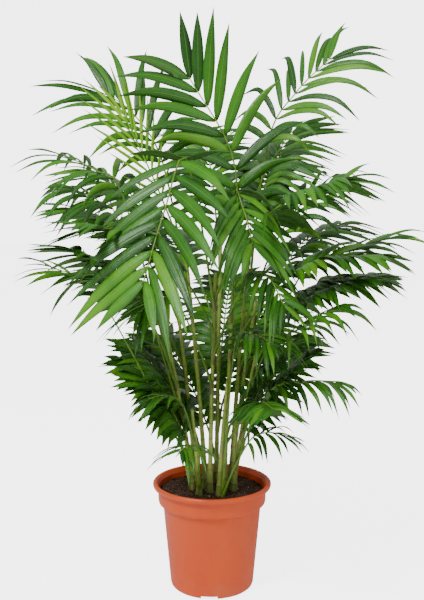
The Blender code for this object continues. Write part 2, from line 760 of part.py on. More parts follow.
def main():
    clear_scene()
    terracotta = material("terracotta_plastic", (0.64, 0.16, 0.06), 0.55)
    earth = material("potting_soil", (0.045, 0.026, 0.018), 0.95)
    bark = material("cane_green", (0.33, 0.36, 0.12), 0.5)
    leaf = material("leaf_green", (0.06, 0.22, 0.04), 0.42)
    young = material("leaf_young", (0.30, 0.52, 0.05), 0.45)
    make_pot(terracotta)
    make_soil(earth)
    for name in CANES:
        make_cane(name, bark)
    make_fronds(leaf, young)


main()
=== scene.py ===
import math
import random

import bmesh
import bpy
from mathutils import Matrix, Vector, noise


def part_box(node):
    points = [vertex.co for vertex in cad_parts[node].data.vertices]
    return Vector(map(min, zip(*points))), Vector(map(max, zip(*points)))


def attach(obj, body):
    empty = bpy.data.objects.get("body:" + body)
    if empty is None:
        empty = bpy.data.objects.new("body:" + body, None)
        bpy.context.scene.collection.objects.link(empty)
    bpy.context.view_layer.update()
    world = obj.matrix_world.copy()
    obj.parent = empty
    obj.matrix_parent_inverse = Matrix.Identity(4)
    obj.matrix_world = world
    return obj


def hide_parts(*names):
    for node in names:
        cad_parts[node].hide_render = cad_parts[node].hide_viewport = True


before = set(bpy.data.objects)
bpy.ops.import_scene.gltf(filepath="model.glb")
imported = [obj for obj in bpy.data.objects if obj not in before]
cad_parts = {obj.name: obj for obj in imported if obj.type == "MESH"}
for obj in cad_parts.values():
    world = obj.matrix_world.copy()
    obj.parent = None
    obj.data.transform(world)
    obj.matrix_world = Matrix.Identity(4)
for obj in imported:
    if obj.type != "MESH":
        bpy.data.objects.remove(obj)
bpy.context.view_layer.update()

rng = random.Random(11)

# ------------------------------------------------------------------ pot
# The nursery pot: one thin injection moulding in terracotta-coloured polypropylene, with a rolled
# rim, a straight collar for stacking and a tapered body. It stands on a foot ring that is
# notched to let water out; the floor has drain holes and a small gate pad in the middle.


def finished(name, bm, *surfaces):
    """Puts a bmesh into the scene as one smooth piece that rides on the only body."""
    mesh = bpy.data.meshes.new(name)
    bm.to_mesh(mesh)
    bm.free()
    for surface in surfaces:
        mesh.materials.append(surface)
    mesh.shade_smooth()
    piece = bpy.data.objects.new(name, mesh)
    bpy.context.scene.collection.objects.link(piece)
    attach(piece, "root")
    return piece


class Nodes:
    """A short way to lay out a material: each call adds a node and links what it is given."""

    def __init__(self, tree):
        self.tree = tree

    def add(self, kind, inputs=(), **settings):
        node = self.tree.nodes.new(kind)
        for key, value in settings.items():
            setattr(node, key, value)
        for socket, value in dict(inputs).items():
            if isinstance(value, bpy.types.NodeSocket):
                self.tree.links.new(value, node.inputs[socket])
            else:
                node.inputs[socket].default_value = value
        return node

    def ramp(self, value, *stops):
        node = self.add("ShaderNodeValToRGB", {"Fac": value})
        band = node.color_ramp
        while len(band.elements) < len(stops):
            band.elements.new(0.5)
        for element, (at, colour) in zip(band.elements, stops):
            element.position = at
            element.color = colour if len(colour) == 4 else (*colour, 1)
        return node.outputs["Color"]

    def mix(self, share, first, second, blend="MIX"):
        node = self.add("ShaderNodeMix", data_type="RGBA", blend_type=blend)
        for socket, value in ((node.inputs[0], share), (node.inputs[6], first), (node.inputs[7], second)):
            if isinstance(value, bpy.types.NodeSocket):
                self.tree.links.new(value, socket)
            elif socket.type == "RGBA":
                socket.default_value = (*value, 1)
            else:
                socket.default_value = value
        return node.outputs[2]

    def maths(self, operation, first, second=0.0, clamp=False):
        node = self.add("ShaderNodeMath", operation=operation, use_clamp=clamp)
        for socket, value in zip(node.inputs, (first, second)):
            if isinstance(value, bpy.types.NodeSocket):
                self.tree.links.new(value, socket)
            else:
                socket.default_value = value
        return node.outputs[0]

    def noise(self, vector, scale, detail=3.0, rough=0.55, stretch=None):
        if stretch:
            vector = self.add("ShaderNodeMapping", {"Vector": vector, "Scale": stretch}).outputs[0]
        made = self.add(
            "ShaderNodeTexNoise",
            {"Vector": vector, "Scale": scale, "Detail": detail, "Roughness": rough},
        )
        return made.outputs["Fac"]

    def spread(self, value, low, high, to_low=0.0, to_high=1.0):
        made = self.add(
            "ShaderNodeMapRange",
            {"Value": value, "From Min": low, "From Max": high, "To Min": to_low, "To Max": to_high},
        )
        return made.outputs[0]

    def bump(self, height, strength, distance):
        made = self.add("ShaderNodeBump", {"Height": height, "Strength": strength, "Distance": distance})
        return made.outputs[0]


def shared_effect(name, inputs, outputs):
    """An empty shader node group: inputs and outputs map a socket's name to its kind."""
    tree = bpy.data.node_groups.new(name, "ShaderNodeTree")
    for way, sockets in (("INPUT", inputs), ("OUTPUT", outputs)):
        for label, kind in sockets.items():
            tree.interface.new_socket(label, in_out=way, socket_type="NodeSocket" + kind)
    nodes = Nodes(tree)
    return tree, nodes, nodes.add("NodeGroupInput").outputs


def material(name):
    """An empty Principled material and the helper to lay out its nodes."""
    surface = bpy.data.materials.new(name)
    surface.use_nodes = True
    shader = surface.node_tree.nodes["Principled BSDF"]
    return surface, shader, Nodes(surface.node_tree)


def feed(surface, shader, **sockets):
    for name, value in sockets.items():
        socket = shader.inputs[name.replace("_", " ")]
        if isinstance(value, bpy.types.NodeSocket):
            surface.node_tree.links.new(value, socket)
        else:
            socket.default_value = value


streaks_effect, n, given = shared_effect(
    "streaks",
    {"Place": "Vector", "Stretch": "Vector", "Scale": "Float", "Detail": "Float", "Roughness": "Float"},
    {"Streaks": "Float"},
)
drawn_out = n.add("ShaderNodeMapping", {"Vector": given["Place"], "Scale": given["Stretch"]})
noise_inputs = {key: given[key] for key in ("Scale", "Detail", "Roughness")}
grain = n.add("ShaderNodeTexNoise", {"Vector": drawn_out.outputs[0], **noise_inputs})
n.add("NodeGroupOutput", {"Streaks": grain.outputs["Fac"]})


def streaks_along(n, place, stretch, scale, detail=4.0, rough=0.6):
    """The streaks effect placed in a material, as a value from 0 to 1."""
    inputs = {"Place": place, "Stretch": stretch, "Scale": scale, "Detail": detail, "Roughness": rough}
    return n.add("ShaderNodeGroup", inputs, node_tree=streaks_effect).outputs["Streaks"]


def terracotta_plastic():
    """Moulded plastic: even colour with faint flow clouds, fine grain, scuffs and dust low down."""
    surface, shader, n = material("terracotta_plastic")
    place = n.add("ShaderNodeTexCoord").outputs["Object"]
    height = n.add("ShaderNodeSeparateXYZ", {"Vector": place}).outputs["Z"]
    clouds = n.noise(place, 16, 3, 0.6, (1, 1, 0.35))
    colour = n.ramp(
        clouds, (0.28, (0.670, 0.064, 0.003)), (0.55, (0.730, 0.080, 0.004)), (0.8, (0.770, 0.100, 0.008))
    )
    grain = n.noise(place, 900, 2, 0.6)
    speckle = n.spread(grain, 0.62, 0.80, 0.0, 0.20)
    colour = n.mix(speckle, colour, (0.42, 0.085, 0.030))
    scratch = streaks_along(n, place, (1, 1, 7), 60, 6, 0.75)
    scuff = n.spread(scratch, 0.64, 0.80, 0.0, 0.32)
    colour = n.mix(scuff, colour, (0.80, 0.29, 0.14))
    low = n.spread(height, 0.0, 0.045, 1.0, 0.0)
    dusty = n.maths("MULTIPLY", low, n.spread(n.noise(place, 38, 4, 0.65), 0.42, 0.72))
    colour = n.mix(n.maths("MULTIPLY", dusty, 0.35), colour, (0.45, 0.22, 0.13))
    rough = n.spread(n.noise(place, 30, 4, 0.6), 0.3, 0.75, 0.40, 0.56)
    relief = n.maths("ADD", n.maths("MULTIPLY", grain, 0.35), n.maths("MULTIPLY", scratch, 0.5))
    feed(surface, shader, Base_Color=colour, Roughness=rough, Normal=n.bump(relief, 0.16, 0.0006))
    shader.inputs["Coat Weight"].default_value = 0.06
    shader.inputs["Coat Roughness"].default_value = 0.35
    return surface


pot_height = 0.188
rim_radius = 0.105
collar_radius = 0.0955
wall = 0.0020
collar_foot = 0.153
body_top_radius = 0.0875
foot_radius = 0.0735
floor_lift = 0.007


def body_radius(z):
    return foot_radius + (body_top_radius - foot_radius) * z / collar_foot


def turned(profile, steps, round_by=0.0, round_steps=3):
    """Spins a profile of (radius, height) points, its corners rounded first, into a closed body."""
    bm = bmesh.new()
    points = [bm.verts.new((r, 0, z)) for r, z in profile]
    for pair in zip(points, points[1:]):
        bm.edges.new(pair)
    if round_by:
        bmesh.ops.bevel(
            bm,
            geom=points[1:-1],
            offset=round_by,
            offset_type="OFFSET",
            affect="VERTICES",
            segments=round_steps,
            profile=0.5,
            material=-1,
            clamp_overlap=True,
        )
    bmesh.ops.spin(
        bm,
        geom=bm.verts[:] + bm.edges[:],
        cent=(0, 0, 0),
        axis=(0, 0, 1),
        angle=2 * math.pi,
        steps=steps,
        use_merge=True,
    )
    bmesh.ops.remove_doubles(bm, verts=bm.verts, dist=1e-6)
    bmesh.ops.recalc_face_normals(bm, faces=bm.faces)
    return bm


# Radius and height of the wall's outline, from the middle of the underside round to the floor
pot_profile = (
    (0, 0),
    (0.014, 0),
    (0.016, floor_lift),
    (0.0645, floor_lift),
    (0.0655, 0),
    (0.0700, 0),
    (0.0728, 0.0022),
    (body_radius(0.006), 0.006),
    (body_radius(0.1465), 0.1465),
    (0.0905, 0.1488),
    (0.0945, 0.1520),
    (0.0955, 0.1560),
    (0.0962, 0.1785),
    (0.0985, 0.1797),
    (0.1040, 0.1800),
    (rim_radius, 0.1828),
    (rim_radius, 0.1856),
    (0.1030, pot_height),
    (0.0996, pot_height),
    (0.0972, 0.1862),
    (collar_radius - wall, 0.1800),
    (collar_radius - wall, 0.1540),
    (body_radius(0.149) - wall, 0.1490),
    (body_radius(0.013) - wall, 0.0130),
    (0.0676, 0.0095),
    (0.0640, 0.0090),
    (0, 0.0090),
)
pot_surface = terracotta_plastic()
pot = finished("pot", turned(pot_profile, 144, 0.0007), pot_surface)


def cut_away(piece, cutters):
    """Takes the cutters' shape out of a piece for good."""
    mesh = bpy.data.meshes.new("cutter")
    cutters.to_mesh(mesh)
    cutters.free()
    cutter = bpy.data.objects.new("cutter", mesh)
    bpy.context.scene.collection.objects.link(cutter)
    boolean = piece.modifiers.new("cut", "BOOLEAN")
    boolean.operation = "DIFFERENCE"
    boolean.solver = "EXACT"
    boolean.object = cutter
    bpy.context.view_layer.update()
    whole = piece.evaluated_get(bpy.context.evaluated_depsgraph_get())
    piece.data = bpy.data.meshes.new_from_object(whole)
    piece.modifiers.clear()
    bpy.data.objects.remove(cutter)
    piece.data.shade_smooth()
    piece.data.set_sharp_from_angle(angle=math.radians(40))


notch_turns = (-94, -4, 86, 176)
notch_circle = 0.0705
notch_size = (0.02, 0.029, 0.0112)
drain_circle = 0.044
drain_radius = 0.0055
openings = bmesh.new()
for turn in notch_turns:
    at = Matrix.Rotation(math.radians(turn), 4, "Z") @ Matrix.Translation((notch_circle, 0, 0))
    bmesh.ops.create_cube(openings, size=1, matrix=at @ Matrix.Diagonal((*notch_size, 1)))
for turn in range(30, 360, 60):
    at = Matrix.Rotation(math.radians(turn), 4, "Z") @ Matrix.Translation((drain_circle, 0, floor_lift))
    bmesh.ops.create_cone(
        openings,
        cap_ends=True,
        segments=32,
        radius1=drain_radius,
        radius2=drain_radius,
        depth=0.03,
        matrix=at,
    )
cut_away(pot, openings)
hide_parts("pot")

# ------------------------------------------------------------------ soil
# The potting mix: moist dark peat, pressed in by hand, a little lower along the wall. Loose
# crumbs, brown root and bark fibres and a few white grains of perlite lie on it.

soil_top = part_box("soil")[1].z
soil_gap = 0.0004
soil_radius = collar_radius - wall - soil_gap
crumb_count = 1500
perlite_count = 22
fibre_count = 150


def soil_height(x, y):
    """Height of the rough surface of the mix."""
    reach = math.hypot(x, y) / soil_radius
    lump = noise.noise(Vector((x, y, 0.3)) * 55) * 0.0022
    crumb = noise.noise(Vector((x, y, 1.7)) * 190) * 0.0016
    grit = noise.noise(Vector((x, y, 4.1)) * 480) * 0.0008
    fall = 0.004 * max(0.0, (reach - 0.6) / 0.4) ** 1.5
    return soil_top - 0.0010 + lump + crumb + grit - fall


def potting_mix():
    """Dark crumbly peat: warmer crumbs, red-brown flecks of bark, and painted shade that turns the hollows
    black-brown.
    """
    surface, shader, n = material("potting_soil")
    place = n.add("ShaderNodeTexCoord").outputs["Object"]
    crumbs = n.noise(place, 420, 5, 0.7)
    patches = n.noise(place, 60, 3, 0.6)
    # The crumb noise also sets the bump below. This ramp gives the peat its own mottled tone, and its
    # black-brown end paints shade into the hollows.
    colour = n.ramp(
        crumbs, (0.30, (0.010, 0.006, 0.004)), (0.50, (0.055, 0.029, 0.018)), (0.70, (0.180, 0.095, 0.055))
    )
    colour = n.mix(n.spread(patches, 0.45, 0.7, 0.0, 0.5), colour, (0.050, 0.030, 0.020))
    cells = n.add("ShaderNodeTexVoronoi", {"Vector": place, "Scale": 330.0}).outputs["Distance"]
    relief = n.maths("ADD", crumbs, n.maths("MULTIPLY", cells, 0.6))
    rough = n.spread(patches, 0.35, 0.7, 0.78, 0.97)
    feed(surface, shader, Base_Color=colour, Roughness=rough, Normal=n.bump(relief, 0.9, 0.0016))
    shader.inputs["Specular IOR Level"].default_value = 0.25
    return surface


soil_surface = potting_mix()
bm = bmesh.new()
bmesh.ops.create_grid(bm, x_segments=150, y_segments=150, size=soil_radius)
outside = [v for v in bm.verts if math.hypot(v.co.x, v.co.y) > soil_radius - 0.0006]
bmesh.ops.delete(bm, geom=outside, context="VERTS")
for v in bm.verts:
    if v.is_boundary:
        flat = Vector((v.co.x, v.co.y, 0)).normalized() * soil_radius
        v.co.x, v.co.y = flat.x, flat.y
    v.co.z = soil_height(v.co.x, v.co.y)
border = [e for e in bm.edges if e.is_boundary]
soil_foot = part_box("soil")[0].z
for radius, z in (
    (soil_radius, 0.1545),
    (body_radius(0.149) - wall - soil_gap, 0.1490),
    (body_radius(soil_foot + 0.004) - wall - soil_gap, soil_foot + 0.004),
    (0.0670, soil_foot + 0.0002),
):
    side = bmesh.ops.extrude_edge_only(bm, edges=border)["geom"]
    for v in (g for g in side if isinstance(g, bmesh.types.BMVert)):
        flat = Vector((v.co.x, v.co.y, 0)).normalized() * radius
        v.co = (flat.x, flat.y, z)
    border = [g for g in side if isinstance(g, bmesh.types.BMEdge) and g.is_boundary]
bmesh.ops.contextual_create(bm, geom=border)
bmesh.ops.recalc_face_normals(bm, faces=bm.faces)
soil = finished("soil", bm, soil_surface)
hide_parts("soil")

cane_names = sorted(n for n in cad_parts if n.startswith("cane_"))
cane_feet = []
for name in cane_names:
    low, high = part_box(name)
    ring = [v.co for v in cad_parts[name].data.vertices if v.co.z < low.z + 1e-5]
    cane_feet.append(sum(ring, Vector()) / len(ring))


def free_spot(clear_of_canes):
    """A random place on the soil, as (x, y)."""
    while True:
        reach = soil_radius * 0.965 * math.sqrt(rng.random())
        turn = rng.uniform(0, 2 * math.pi)
        x, y = reach * math.cos(turn), reach * math.sin(turn)
        if all(math.hypot(x - f.x, y - f.y) > clear_of_canes for f in cane_feet):
            return x, y


def crumbs_of(count, small, large, flatness, sunk):
    """Rough lumps strewn over the soil in one mesh."""
    bm = bmesh.new()
    for _ in range(count):
        x, y = free_spot(0.006)
        size = small + (large - small) * rng.random() ** 2.2
        tilt = Matrix.Rotation(rng.uniform(0, 6.28), 4, (rng.random(), rng.random(), rng.random() + 0.1))
        shape = Matrix.Diagonal((1, rng.uniform(0.6, 1), rng.uniform(flatness, 1), 1))
        at = Matrix.Translation((x, y, soil_height(x, y) + size * sunk))
        made = bmesh.ops.create_icosphere(bm, subdivisions=1, radius=size, matrix=at @ tilt @ shape)
        for v in made["verts"]:
            v.co += Vector((rng.gauss(0, 1), rng.gauss(0, 1), rng.gauss(0, 1))) * size * 0.14
    return bm


soil_crumbs = finished("soil_crumbs", crumbs_of(crumb_count, 0.0007, 0.0030, 0.5, 0.25), soil_surface)


def perlite_white():
    surface, shader, n = material("perlite")
    place = n.add("ShaderNodeTexCoord").outputs["Object"]
    pores = n.noise(place, 900, 4, 0.7)
    colour = n.ramp(pores, (0.35, (0.42, 0.38, 0.33)), (0.6, (0.80, 0.78, 0.74)))
    feed(surface, shader, Base_Color=colour, Roughness=0.9, Normal=n.bump(pores, 0.6, 0.0006))
    return surface


perlite = finished("perlite", crumbs_of(perlite_count, 0.0005, 0.0015, 0.7, 0.6), perlite_white())


def dry_fibre():
    """Bark and root fibre: straw to red-brown, streaked."""
    surface, shader, n = material("dry_fibre")
    place = n.add("ShaderNodeTexCoord").outputs["Object"]
    streaks = streaks_along(n, place, (1, 1, 1), 260, 4, 0.7)
    colour = n.ramp(
        streaks, (0.3, (0.060, 0.030, 0.015)), (0.55, (0.20, 0.115, 0.055)), (0.75, (0.36, 0.25, 0.14))
    )
    feed(surface, shader, Base_Color=colour, Roughness=0.85, Normal=n.bump(streaks, 0.5, 0.0004))
    return surface


def grown_tube(bm, centres, radii, sides=7):
    """A closed tube drawn through centres by extruding a small round face."""
    made = bmesh.ops.create_circle(bm, cap_ends=True, segments=sides, radius=1)
    cap = made["verts"][0].link_faces[0]
    ring = [v.co.copy() for v in cap.verts]
    first = list(cap.verts)
    across = Vector((0.3, 1, 0.2))
    for i, (centre, radius) in enumerate(zip(centres, radii)):
        ahead = centres[min(i + 1, len(centres) - 1)] - centres[max(i - 1, 0)]
        along = ahead.normalized()
        across = (across - along * across.dot(along)).normalized()
        other = along.cross(across)
        if i:
            cap = bmesh.ops.extrude_discrete_faces(bm, faces=[cap])["faces"][0]
        for v, corner in zip(cap.verts, ring):
            v.co = centre + (across * corner.x + other * corner.y) * radius
    bmesh.ops.contextual_create(bm, geom=first)


fibre_surface = dry_fibre()
bm = bmesh.new()
for _ in range(fibre_count):
    x, y = free_spot(0.007)
    turn = rng.uniform(0, 6.28)
    length = rng.uniform(0.004, 0.016)
    bend = rng.uniform(-0.9, 0.9)
    points = []
    for k in range(5):
        x += math.cos(turn) * length / 4
        y += math.sin(turn) * length / 4
        turn += bend / 4
        if math.hypot(x, y) > soil_radius * 0.975:
            break
        points.append(Vector((x, y, soil_height(x, y) + 0.0007 + 0.0008 * math.sin(k * 0.8))))
    if len(points) > 2:
        thick = rng.uniform(0.00018, 0.00045)
        grown_tube(bm, points, [thick * s for s in (0.6, 1, 1, 0.8, 0.4)][: len(points)], 4)
bmesh.ops.recalc_face_normals(bm, faces=bm.faces)
fibres = finished("soil_fibres", bm, fibre_surface)

# ------------------------------------------------------------------ canes
# The canes: reed-like green stems that rise from the soil in a tight clump, swollen and brown at
# the foot, with a pale ring at each node where an old leaf has dropped its sheath.


def cane_skin():
    """Green cane: yellow-green above, darker and brown with old sheath skin near the soil."""
    surface, shader, n = material("cane_green")
    place = n.add("ShaderNodeTexCoord").outputs["Object"]
    height = n.add("ShaderNodeSeparateXYZ", {"Vector": place}).outputs["Z"]
    streaks = streaks_along(n, place, (1, 1, 0.10), 240)
    blotch = n.noise(place, 26, 3, 0.6)
    colour = n.ramp(
        streaks, (0.30, (0.18, 0.30, 0.030)), (0.55, (0.38, 0.50, 0.070)), (0.78, (0.62, 0.68, 0.16))
    )
    colour = n.mix(n.spread(blotch, 0.50, 0.72, 0, 0.5), colour, (0.17, 0.27, 0.030))
    ring = n.add("ShaderNodeAttribute", attribute_name="ring").outputs["Fac"]
    colour = n.mix(n.maths("MULTIPLY", ring, 0.75), colour, (0.30, 0.22, 0.10))
    low = n.spread(n.maths("ADD", height, n.maths("MULTIPLY", blotch, 0.06)), 0.20, 0.275, 1.0, 0.0)
    bark = n.ramp(
        streaks, (0.3, (0.035, 0.050, 0.012)), (0.55, (0.090, 0.130, 0.030)), (0.75, (0.22, 0.24, 0.075))
    )
    colour = n.mix(n.maths("MULTIPLY", low, 0.85), colour, bark)
    rough = n.spread(blotch, 0.3, 0.7, 0.36, 0.55)
    relief = n.maths("ADD", streaks, n.maths("MULTIPLY", ring, 0.5))
    feed(surface, shader, Base_Color=colour, Roughness=rough, Normal=n.bump(relief, 0.35, 0.0006))
    shader.inputs["Coat Weight"].default_value = 0.1
    shader.inputs["Coat Roughness"].default_value = 0.3
    return surface


def smooth_curve(points, t):
    """A Catmull-Rom curve through points, t from 0 to 1."""
    spans = len(points) - 1
    i = min(int(t * spans), spans - 1)
    f = t * spans - i
    a = points[i - 1] if i else points[0] * 2 - points[1]
    b, c = points[i], points[i + 1]
    d = points[i + 2] if i + 2 <= spans else points[-1] * 2 - points[-2]
    bend = (2 * a - 5 * b + 4 * c - d) * f * f + (3 * b - a - 3 * c + d) * f**3
    return 0.5 * (2 * b + (c - a) * f + bend)


def levels_of(name):
    """The rings of a cane in the frame, lowest first, as (centre, radius)."""
    rows = {}
    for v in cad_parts[name].data.vertices:
        rows.setdefault(round(v.co.z, 4), []).append(v.co.copy())
    rings = []
    for z in sorted(rows):
        ring = rows[z]
        low = Vector(min(c[k] for c in ring) for k in range(3))
        high = Vector(max(c[k] for c in ring) for k in range(3))
        rings.append(((low + high) / 2, (high.x - low.x) / 2))
    return rings


cane_surface = cane_skin()
cane_fullness = 1.24
node_swelling = 0.13
node_halfwidth = 0.0013
canes = {}
for name in cane_names:
    rings = levels_of(name)
    heights = [c.z for c, _ in rings]
    total = heights[-1] - heights[0]
    nodes = []
    z = heights[0] + rng.uniform(0.012, 0.02)
    while z < heights[-1] - 0.01:
        nodes.append(z)
        z += rng.uniform(0.018, 0.026) + 0.05 * (z - heights[0])
    marks = [heights[0] - 0.004, heights[0], heights[0] + 0.003]
    for z in nodes:
        marks += [z - 0.0022, z - 0.0008, z, z + 0.0008, z + 0.0024]
    marks += [heights[0] + total * k / 30 for k in range(1, 31)]
    marks = sorted(m for m in marks if m <= heights[-1])
    marks = [m for m, later in zip(marks, marks[1:] + [9]) if later - m > 0.0005]
    centres, radii, tones = [], [], []
    for z in marks:
        k = max(i for i in range(len(heights) - 1) if heights[i] <= max(z, heights[0]))
        f = (z - heights[k]) / (heights[k + 1] - heights[k])
        centre = rings[k][0].lerp(rings[k + 1][0], f)
        radius = rings[k][1] + (rings[k + 1][1] - rings[k][1]) * max(0, f)
        near = min((abs(z - m) for m in nodes), default=1)
        swell = math.exp(-((near / node_halfwidth) ** 2))
        wobble = noise.noise(centre * 40) * 0.0003
        centres.append(centre + Vector((wobble, -wobble, 0)))
        radii.append(radius * (cane_fullness + node_swelling * swell) + wobble * 0.3)
        tones.append(swell)
    centres[-1] = rings[-1][0]
    bm = bmesh.new()
    tone = bm.verts.layers.float.new("ring")
    grown_tube(bm, centres, radii, 12)
    bm.verts.ensure_lookup_table()
    for v in bm.verts:
        nearest = min(range(len(marks)), key=lambda i: abs(centres[i].z - v.co.z))
        v[tone] = tones[nearest]
    bmesh.ops.recalc_face_normals(bm, faces=bm.faces)
    cane = finished(name, bm, cane_surface)
    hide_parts(name)
    canes[name] = (centres, radii)

# ------------------------------------------------------------------ fronds
# The fronds: each is one leaf of the palm. A thin green stalk clasps the cane with a sheath, runs
# on as the midrib and carries two rows of long pleated leaflets, glossy above and paler below.


def in_fixed_order(corners):
    """A set of corners as a list that is the same on every run."""
    return sorted(corners, key=lambda v: v.index)


def read_frond(node):
    """The stalk rings and the leaflets of a frond in the frame, found by how its corners join."""
    bm = bmesh.new()
    bm.from_mesh(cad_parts[node].data)
    bmesh.ops.remove_doubles(bm, verts=bm.verts, dist=2e-6)
    bm.verts.index_update()
    leaflets = []
    blade = set()
    for tip in bm.verts:
        if len(tip.link_edges) != 4:
            continue
        ring = [e.other_vert(tip) for e in tip.link_edges]
        if sum(((v.co - tip.co).normalized() for v in ring), Vector()).length < 3.6:
            continue
        seen = {tip, *ring}
        rings = [ring]
        while True:
            following = {e.other_vert(v) for v in ring for e in v.link_edges} - seen
            if len(following) != 4:
                break
            ring = in_fixed_order(following)
            seen |= following
            rings.append(ring)
        for r in rings[:-1]:
            blade |= set(r)
        blade.add(tip)
        leaflets.append([[tip.co.copy()]] + [[v.co.copy() for v in r] for r in rings])
    stalk = [v for v in bm.verts if v not in blade]
    roots = [c for leaf in leaflets for c in leaf[-1]]
    foot = max(stalk, key=lambda v: min((v.co - c).length for c in roots))
    ring = sorted(stalk, key=lambda v: (v.co - foot.co).length)[:4]
    seen = set(ring)
    rings = []
    while ring:
        rings.append([v.co.copy() for v in ring])
        following = {e.other_vert(v) for v in ring for e in v.link_edges} - seen - blade
        seen |= following
        ring = in_fixed_order(following)
    bm.free()
    return rings, leaflets


def middle(corners):
    return sum(corners, Vector()) / len(corners)


ribs_effect, n, given = shared_effect(
    "leaflet_ribs",
    {"Across": "Float", "Rib Width": "Float", "Veins": "Float", "Pleats": "Float"},
    {"Rib": "Float", "Vein": "Float", "Relief": "Float"},
)
off_middle = n.maths("ABSOLUTE", n.maths("SUBTRACT", given["Across"], 0.5))
rib = n.spread(off_middle, 0.0, given["Rib Width"], 1.0, 0.0)
veins = n.maths("SINE", n.maths("MULTIPLY", given["Across"], given["Veins"]))
pleats = n.maths("SINE", n.maths("MULTIPLY", given["Across"], given["Pleats"]))
relief = n.maths("ADD", n.maths("MULTIPLY", pleats, 0.5), n.maths("MULTIPLY", veins, 0.22))
relief = n.maths("ADD", relief, n.maths("MULTIPLY", rib, -0.9))
vein = n.spread(veins, 0.2, 1.0, 0.0, 0.16)
n.add("NodeGroupOutput", {"Rib": rib, "Vein": vein, "Relief": relief})


def leaf_skin(name, deep, fresh, pale, under, gloss):
    """Palm leaflet: ribbed lengthwise, deep green with fresher streaks, glossy on the upper side."""
    surface, shader, n = material(name)
    place = n.add("ShaderNodeTexCoord").outputs["Object"]
    uv = n.add("ShaderNodeUVMap", uv_map="UVMap").outputs[0]
    parts = n.add("ShaderNodeSeparateXYZ", {"Vector": uv})
    across, along = parts.outputs["X"], parts.outputs["Y"]
    tone = n.add("ShaderNodeAttribute", attribute_name="tone").outputs["Fac"]
    patches = n.noise(place, 14, 3, 0.6)
    streaks = streaks_along(n, uv, (9, 0.6, 1), 5)
    shade = n.maths("ADD", n.maths("MULTIPLY", patches, 0.45), n.maths("MULTIPLY", tone, 0.46))
    shade = n.maths("ADD", shade, n.maths("MULTIPLY", streaks, 0.30))
    colour = n.ramp(shade, (0.38, deep), (0.72, fresh), (1.0, pale))
    counts = {"Across": across, "Rib Width": 0.045, "Veins": 110.0, "Pleats": 44.0}
    ribs = n.add("ShaderNodeGroup", counts, node_tree=ribs_effect).outputs
    colour = n.mix(n.maths("MULTIPLY", ribs["Rib"], 0.45), colour, pale)
    colour = n.mix(ribs["Vein"], colour, fresh)
    tip = n.spread(n.maths("ADD", along, n.maths("MULTIPLY", tone, 0.03)), 0.975, 1.01)
    colour = n.mix(n.maths("MULTIPLY", tip, 0.7), colour, (0.30, 0.20, 0.06))
    if under:
        colour = n.mix(0.55, colour, under)
    rough = n.spread(n.noise(place, 60, 3, 0.6), 0.3, 0.7, gloss, gloss + 0.16)
    feed(surface, shader, Base_Color=colour, Roughness=rough, Normal=n.bump(ribs["Relief"], 0.55, 0.0006))
    shader.inputs["Coat Weight"].default_value = 0.0 if under else 0.10
    shader.inputs["Coat Roughness"].default_value = 0.22
    shader.inputs["Specular IOR Level"].default_value = 0.44
    return surface


def stalk_skin(name, dark, light):
    """Green stalk, finely streaked along, paler where it clasps the cane."""
    surface, shader, n = material(name)
    place = n.add("ShaderNodeTexCoord").outputs["Object"]
    streaks = streaks_along(n, place, (1, 1, 0.15), 220)
    colour = n.ramp(streaks, (0.3, dark), (0.7, light))
    feed(surface, shader, Base_Color=colour, Roughness=0.42, Normal=n.bump(streaks, 0.3, 0.0004))
    return surface


leaf_top = leaf_skin(
    "leaf_green",
    deep=(0.010, 0.078, 0.003),
    fresh=(0.050, 0.240, 0.006),
    pale=(0.200, 0.480, 0.014),
    under=None,
    gloss=0.22,
)
leaf_under = leaf_skin(
    "leaf_under",
    deep=(0.020, 0.090, 0.006),
    fresh=(0.062, 0.195, 0.014),
    pale=(0.150, 0.330, 0.035),
    under=(0.080, 0.220, 0.032),
    gloss=0.46,
)
young_top = leaf_skin(
    "leaf_young",
    deep=(0.160, 0.480, 0.006),
    fresh=(0.280, 0.640, 0.010),
    pale=(0.430, 0.740, 0.022),
    under=None,
    gloss=0.40,
)
young_under = leaf_skin(
    "leaf_young_under",
    deep=(0.180, 0.460, 0.012),
    fresh=(0.290, 0.600, 0.018),
    pale=(0.420, 0.700, 0.036),
    under=(0.280, 0.600, 0.022),
    gloss=0.50,
)
stalk_green = stalk_skin("stalk_green", (0.060, 0.170, 0.008), (0.200, 0.360, 0.030))
sheath_brown = stalk_skin("sheath", (0.110, 0.120, 0.020), (0.330, 0.330, 0.090))


def blade_shape(u):
    """Half width of a leaflet along its length, 1 at the widest: narrow foot, long drawn-out tip."""
    return (0.13 + 1.5 * u**0.62) * max(0.0, 1 - u**1.42) ** 1.18 / 0.742


def course_of(leaf, stalk_along):
    """The middle line of a leaflet from root to tip, and its breadth at each inner ring."""
    rings = leaf[::-1]
    spans = []
    for ring in rings[1:-1]:
        pairs = [(ring[i], ring[j]) for i in range(4) for j in range(i + 1, 4)]
        a, b = max(pairs, key=lambda p: (p[0] - p[1]).length)
        line = b - a
        spans.append(line if line.dot(stalk_along) > 0 else -line)
    return [middle(r) for r in rings], spans


def between_two(one, other):
    """The course of a leaflet that grows halfway between two neighbours."""
    return tuple([(a + b) / 2 for a, b in zip(mine, theirs)] for mine, theirs in zip(one, other))


leaf_thickness = 0.00045
widest_half = 0.0128
breadth_young, breadth_named, breadth_inner = 0.74, 0.88, 1.22


